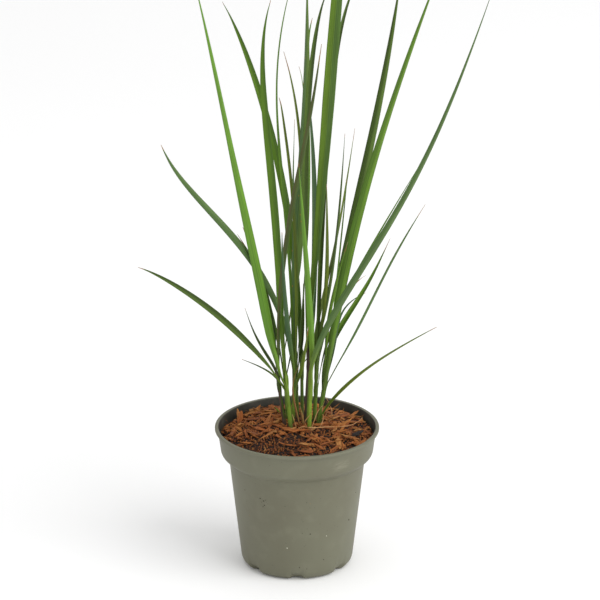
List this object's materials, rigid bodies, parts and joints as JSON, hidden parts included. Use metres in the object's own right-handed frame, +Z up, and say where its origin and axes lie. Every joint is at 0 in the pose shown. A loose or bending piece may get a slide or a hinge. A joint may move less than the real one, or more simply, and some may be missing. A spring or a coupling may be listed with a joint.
{
  "type": "potted ornamental grass clump",
  "caption": "Upright clump of narrow-leaved ornamental grass in a round plastic nursery pot with bark chips on its compost; stands on its flat base.",
  "frame": {"origin": "centre of the pot's flat underside, on the ground", "axes": "+Z up along the pot's axis and the clump's height, -Y to the front of the picture, +X to its right"},
  "size_m": [0.353, 0.2992, 0.731],
  "materials": {
    "pot_plastic": "matte",
    "compost": "matte",
    "chips": "matte",
    "leaf_sheath": "satin",
    "leaf_blade": "satin",
    "dry_leaf": "matte"
  },
  "bodies": {
    "root": {"pot": "pot_plastic", "growing_medium": "compost", "chip_mulch": "chips", "tiller_01": "leaf_sheath", "tiller_02": "leaf_sheath", "tiller_03": "leaf_sheath", "tiller_04": "leaf_sheath", "tiller_05": "leaf_sheath", "tiller_06": "leaf_sheath", "tiller_07": "leaf_sheath", "tiller_08": "leaf_sheath", "tiller_09": "leaf_sheath", "tiller_10": "leaf_sheath", "blade_01_1": "leaf_blade", "blade_01_2": "leaf_blade", "blade_01_3": "leaf_blade", "blade_01_4": "leaf_blade", "blade_01_5": "leaf_blade", "blade_02_1": "leaf_blade", "blade_02_2": "leaf_blade", "blade_02_3": "leaf_blade", "blade_02_4": "leaf_blade", "blade_03_1": "leaf_blade", "blade_03_2": "leaf_blade", "blade_03_3": "leaf_blade", "blade_03_4": "leaf_blade", "blade_04_1": "leaf_blade", "blade_04_2": "leaf_blade", "blade_04_3": "leaf_blade", "blade_04_4": "leaf_blade", "blade_05_1": "leaf_blade", "blade_05_2": "leaf_blade", "blade_05_3": "leaf_blade", "blade_06_1": "leaf_blade", "blade_06_2": "leaf_blade", "blade_06_3": "leaf_blade", "blade_07_1": "leaf_blade", "blade_07_2": "leaf_blade", "blade_08_1": "leaf_blade", "blade_08_2": "leaf_blade", "blade_08_3": "leaf_blade", "blade_08_4": "leaf_blade", "blade_08_5": "leaf_blade", "blade_08_6": "leaf_blade", "blade_09_1": "leaf_blade", "blade_09_2": "leaf_blade", "blade_09_3": "leaf_blade", "blade_09_4": "leaf_blade", "blade_09_5": "leaf_blade", "blade_09_6": "leaf_blade", "blade_09_7": "leaf_blade", "blade_10_1": "leaf_blade", "blade_10_2": "leaf_blade", "blade_10_3": "leaf_blade", "dry_blade": "dry_leaf", "dry_sheath": "dry_leaf", "root_strand": "dry_leaf"}
  },
  "joints": []
}
